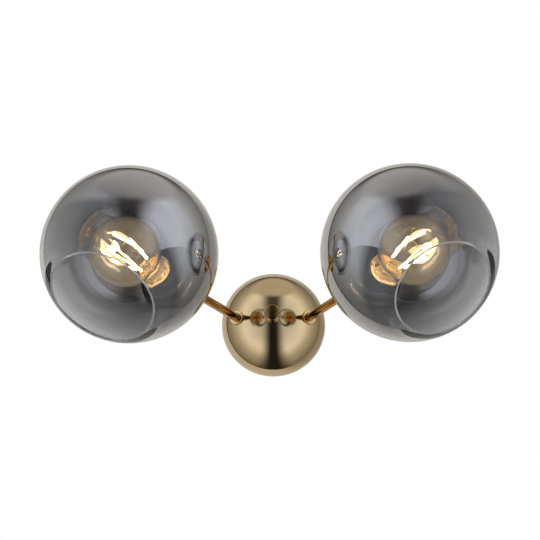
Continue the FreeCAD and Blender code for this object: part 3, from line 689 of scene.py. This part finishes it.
# Smaller CAD pieces keep their shape: material, slot and what they ride
smallPieces = {
    "bulb_insulator": ("vitrite", "black_vitrite", "bulb"),
    "bulb_contact": ("solder", "solder_tin", "bulb"),
    "bulb_stem": ("clearGlass", "clear_glass", "bulb"),
    "bulb_filaments": ("glow", "lit_filament", "bulb"),
    "bulb_wires": ("nickelWire", "nickel_wire", "bulb"),
    "screw_shell": ("bareBrass", "brass_hardware", "fixture"),
    "spring_contact": ("bareBrass", "brass_hardware", "fixture"),
    "holder_base": ("phenolic", "black_phenolic", "fixture"),
    "holder_screws": ("zincSteel", "zinc_steel", "fixture"),
    "arm_saddle": ("zincSteel", "zinc_steel", "fixture"),
    "arm_nut": ("zincSteel", "zinc_steel", "fixture"),
    "cup_nut": ("zincSteel", "zinc_steel", "fixture"),
    "lead": ("leadSheath", "lead_sheath", "fixture"),
}
wallPieces = {
    "wall_bracket": ("zincSteel", "zinc_steel"),
    "centre_stud": ("zincSteel", "zinc_steel"),
    "stud_nuts": ("zincSteel", "zinc_steel"),
    "earth_screw": ("bareBrass", "brass_hardware"),
    "terminal_block": ("blockWhite", "block_plastic"),
    "terminal_screws": ("zincSteel", "zinc_steel"),
    "block_screw": ("zincSteel", "zinc_steel"),
}
for name, (material, slot) in wallPieces.items():
    finishPiece(copyOfNode(name, name + "Smooth"), "fixture", name, materials[material])
for sideName in arms["sides"]:
    for name, (material, slot, mover) in smallPieces.items():
        node = sideName + "_" + name
        body = mover if mover == "fixture" else sideName + "_" + mover
        finishPiece(copyOfNode(node, node + "Smooth"), body, node, materials[material])
print("small pieces done")

# Studio: a round tent of lit cloth, which metal and glass show. The camera looks past it at the
# white world, and so does what is seen straight through glass. The world lights matt surfaces.

mixFactor, mixFirst, mixSecond, mixResult = 0, 6, 7, 2      # colour sockets of a mix node

tent = {
    "radius": 1.9, "centre": (0.0, -0.1, 0.0), "segments": 96, "rings": 48,
    # levels from the front, 0, to the back, 1
    "walls": [(0.0, (0.60, 0.63, 0.67, 1)), (0.12, (0.67, 0.70, 0.75, 1)),
              (0.25, (0.88, 0.92, 0.98, 1)), (0.35, (0.98, 1.02, 1.07, 1)),
              (0.44, (0.80, 0.82, 0.84, 1)), (0.55, (0.53, 0.53, 0.52, 1)),
              (0.68, (0.36, 0.35, 0.33, 1)), (0.78, (0.24, 0.23, 0.21, 1))],
    # laid over the walls in this order, each from none to all of it between two leans
    "parts": {
        "slit": {"lean": "side", "none": 0.50, "all": 0.08, "along": "up",
                 "levels": [(0.0, (0.02, 0.018, 0.016, 1)), (0.9, (0.09, 0.08, 0.075, 1))]},
        "ceiling": {"lean": "up", "none": 0.80, "all": 0.91, "level": (0.54, 0.52, 0.50, 1)},
        "hem": {"lean": "back", "none": 0.58, "all": 0.60, "level": (0.04, 0.035, 0.03, 1)},
        "backdrop": {"lean": "back", "none": 0.62, "all": 0.63, "along": "right",
                     "levels": [(0.1, (0.60, 0.58, 0.54, 1)), (0.5, (0.36, 0.34, 0.32, 1))]},
    },
    "hemEnds": (0.35, 0.0),      # the dark hem fades out between these, towards the right
}


def tentCloth():
    # white diffusion cloth, lit from outside, with its gap, ceiling and hem
    material, tree = newMaterial("litTentCloth")
    coords = addNode(tree, "ShaderNodeTexCoord")
    centred = addNode(tree, "ShaderNodeMapping", {"Location": [-v for v in tent["centre"]]},
                      {"Vector": coords.outputs["Object"]})
    direction = addNode(tree, "ShaderNodeVectorMath", {"operation": "NORMALIZE"},
                        {0: centred.outputs["Vector"]})
    split = addNode(tree, "ShaderNodeSeparateXYZ", links={"Vector": direction.outputs["Vector"]})
    sideways = addNode(tree, "ShaderNodeMath", {"operation": "ABSOLUTE"}, {0: split.outputs["X"]})
    leans = {"side": sideways.outputs[0], "right": split.outputs["X"],
             "back": split.outputs["Y"], "up": split.outputs["Z"]}
    depth = addNode(tree, "ShaderNodeMapRange", {"From Min": -1.0, "From Max": 1.0},
                    {"Value": leans["back"]})
    walls = addNode(tree, "ShaderNodeValToRGB", {"ramp": tent["walls"]},
                    {"Fac": depth.outputs["Result"]})
    hemStart, hemEnd = tent["hemEnds"]
    hemLeft = addNode(tree, "ShaderNodeMapRange", {"interpolation_type": "SMOOTHSTEP",
                      "From Min": hemStart, "From Max": hemEnd}, {"Value": leans["right"]})
    level = walls.outputs["Color"]
    for name, part in tent["parts"].items():
        share = addNode(tree, "ShaderNodeMapRange", {"interpolation_type": "SMOOTHSTEP",
                        "From Min": part["none"], "From Max": part["all"]},
                        {"Value": leans[part["lean"]]})
        if name == "hem":
            share = addNode(tree, "ShaderNodeMath", {"operation": "MULTIPLY"},
                            {0: share.outputs[0], 1: hemLeft.outputs[0]})
        layer = addNode(tree, "ShaderNodeMix", {"data_type": "RGBA"},
                        {mixFactor: share.outputs[0], mixFirst: level})
        if "along" in part:      # its level changes along another lean
            tone = addNode(tree, "ShaderNodeValToRGB", {"ramp": part["levels"]},
                           {"Fac": leans[part["along"]]})
            tree.links.new(tone.outputs["Color"], layer.inputs[mixSecond])
        else:
            layer.inputs[mixSecond].default_value = part["level"]
        level = layer.outputs[mixResult]
    ray = addNode(tree, "ShaderNodeLightPath")
    unreflected = addNode(tree, "ShaderNodeMath", {"operation": "LESS_THAN", 1: 0.5},
                          {0: ray.outputs["Glossy Depth"]})
    straight = addNode(tree, "ShaderNodeMath", {"operation": "MULTIPLY"},
                       {0: unreflected.outputs[0], 1: ray.outputs["Is Transmission Ray"]})
    shown = addNode(tree, "ShaderNodeMix", {"data_type": "RGBA", mixSecond: (1, 1, 1, 1)},
                    {mixFactor: straight.outputs[0], mixFirst: level})
    closeMaterial(tree, addNode(tree, "ShaderNodeEmission",
                                links={"Color": shown.outputs[mixResult]}))
    return material


clearSelection()
bpy.ops.mesh.primitive_uv_sphere_add(segments=tent["segments"], ring_count=tent["rings"],
                                     radius=tent["radius"], location=tent["centre"])
tentShell = bpy.context.object
tentShell.name = "clothTent"
applyPlace(tentShell)
tentShell.data.materials.append(tentCloth())
tentShell.visible_camera = False
tentShell.visible_diffuse = False
tentShell.visible_shadow = False

stageFloor = {"size": 80, "height": -2.05, "lift": 0.36}      # lifted near the white for the camera


def floorPaint():
    # matt off-white floor paint
    material, tree = newMaterial("paleFloorPaint")
    ray = addNode(tree, "ShaderNodeLightPath")
    paint = addNode(tree, "ShaderNodeBsdfPrincipled",
                    {"Base Color": colour("#F0F0EE"), "Roughness": 0.8})
    lift = addNode(tree, "ShaderNodeMath", {"operation": "MULTIPLY", 1: stageFloor["lift"]},
                   {0: ray.outputs["Is Camera Ray"]})
    glow = addNode(tree, "ShaderNodeEmission", links={"Strength": lift.outputs[0]})
    closeMaterial(tree, addNode(tree, "ShaderNodeAddShader",
                                links={0: paint.outputs[0], 1: glow.outputs[0]}))
    return material


clearSelection()
bpy.ops.mesh.primitive_plane_add(size=stageFloor["size"], location=(0, 0, stageFloor["height"]))
floorPlane = bpy.context.object
floorPlane.name = "paleFloor"
applyPlace(floorPlane)
floorPlane.data.materials.append(floorPaint())

worldLight = {"seen": 1.0, "fill": 0.6}      # white where it is seen, softer as light


def lightWorld():
    world = bpy.data.worlds.new("studioWorld")
    bpy.context.scene.world = world
    world.use_nodes = True
    tree = world.node_tree
    tree.nodes.clear()
    ray = addNode(tree, "ShaderNodeLightPath")
    seen = addNode(tree, "ShaderNodeMath", {"operation": "MAXIMUM"},
                   {0: ray.outputs["Is Camera Ray"], 1: ray.outputs["Is Glossy Ray"]})
    seenOrThrough = addNode(tree, "ShaderNodeMath", {"operation": "MAXIMUM"},
                            {0: seen.outputs[0], 1: ray.outputs["Is Transmission Ray"]})
    fill, white = (addNode(tree, "ShaderNodeBackground",
                           {"Color": (1, 1, 1, 1), "Strength": worldLight[key]})
                   for key in ("fill", "seen"))
    mix = addNode(tree, "ShaderNodeMixShader", links={0: seenOrThrough.outputs[0],
                  1: fill.outputs[0], 2: white.outputs[0]})
    addNode(tree, "ShaderNodeOutputWorld", links={"Surface": mix.outputs[0]})


lightWorld()

# Camera at the photograph's angle
camera = {"place": (25.09, -1462.06, -290.94), "tilt": 103.319, "roll": 0.068, "pan": 1.132,
          "lens": 102.54}
clearSelection()
bpy.ops.object.camera_add(location=[v * mm for v in camera["place"]],
                          rotation=[math.radians(camera[key]) for key in ("tilt", "roll", "pan")])
bpy.context.scene.camera = bpy.context.object
bpy.context.object.data.lens = camera["lens"]
bpy.context.scene.view_settings.view_transform = "Standard"
print("studio and camera done")
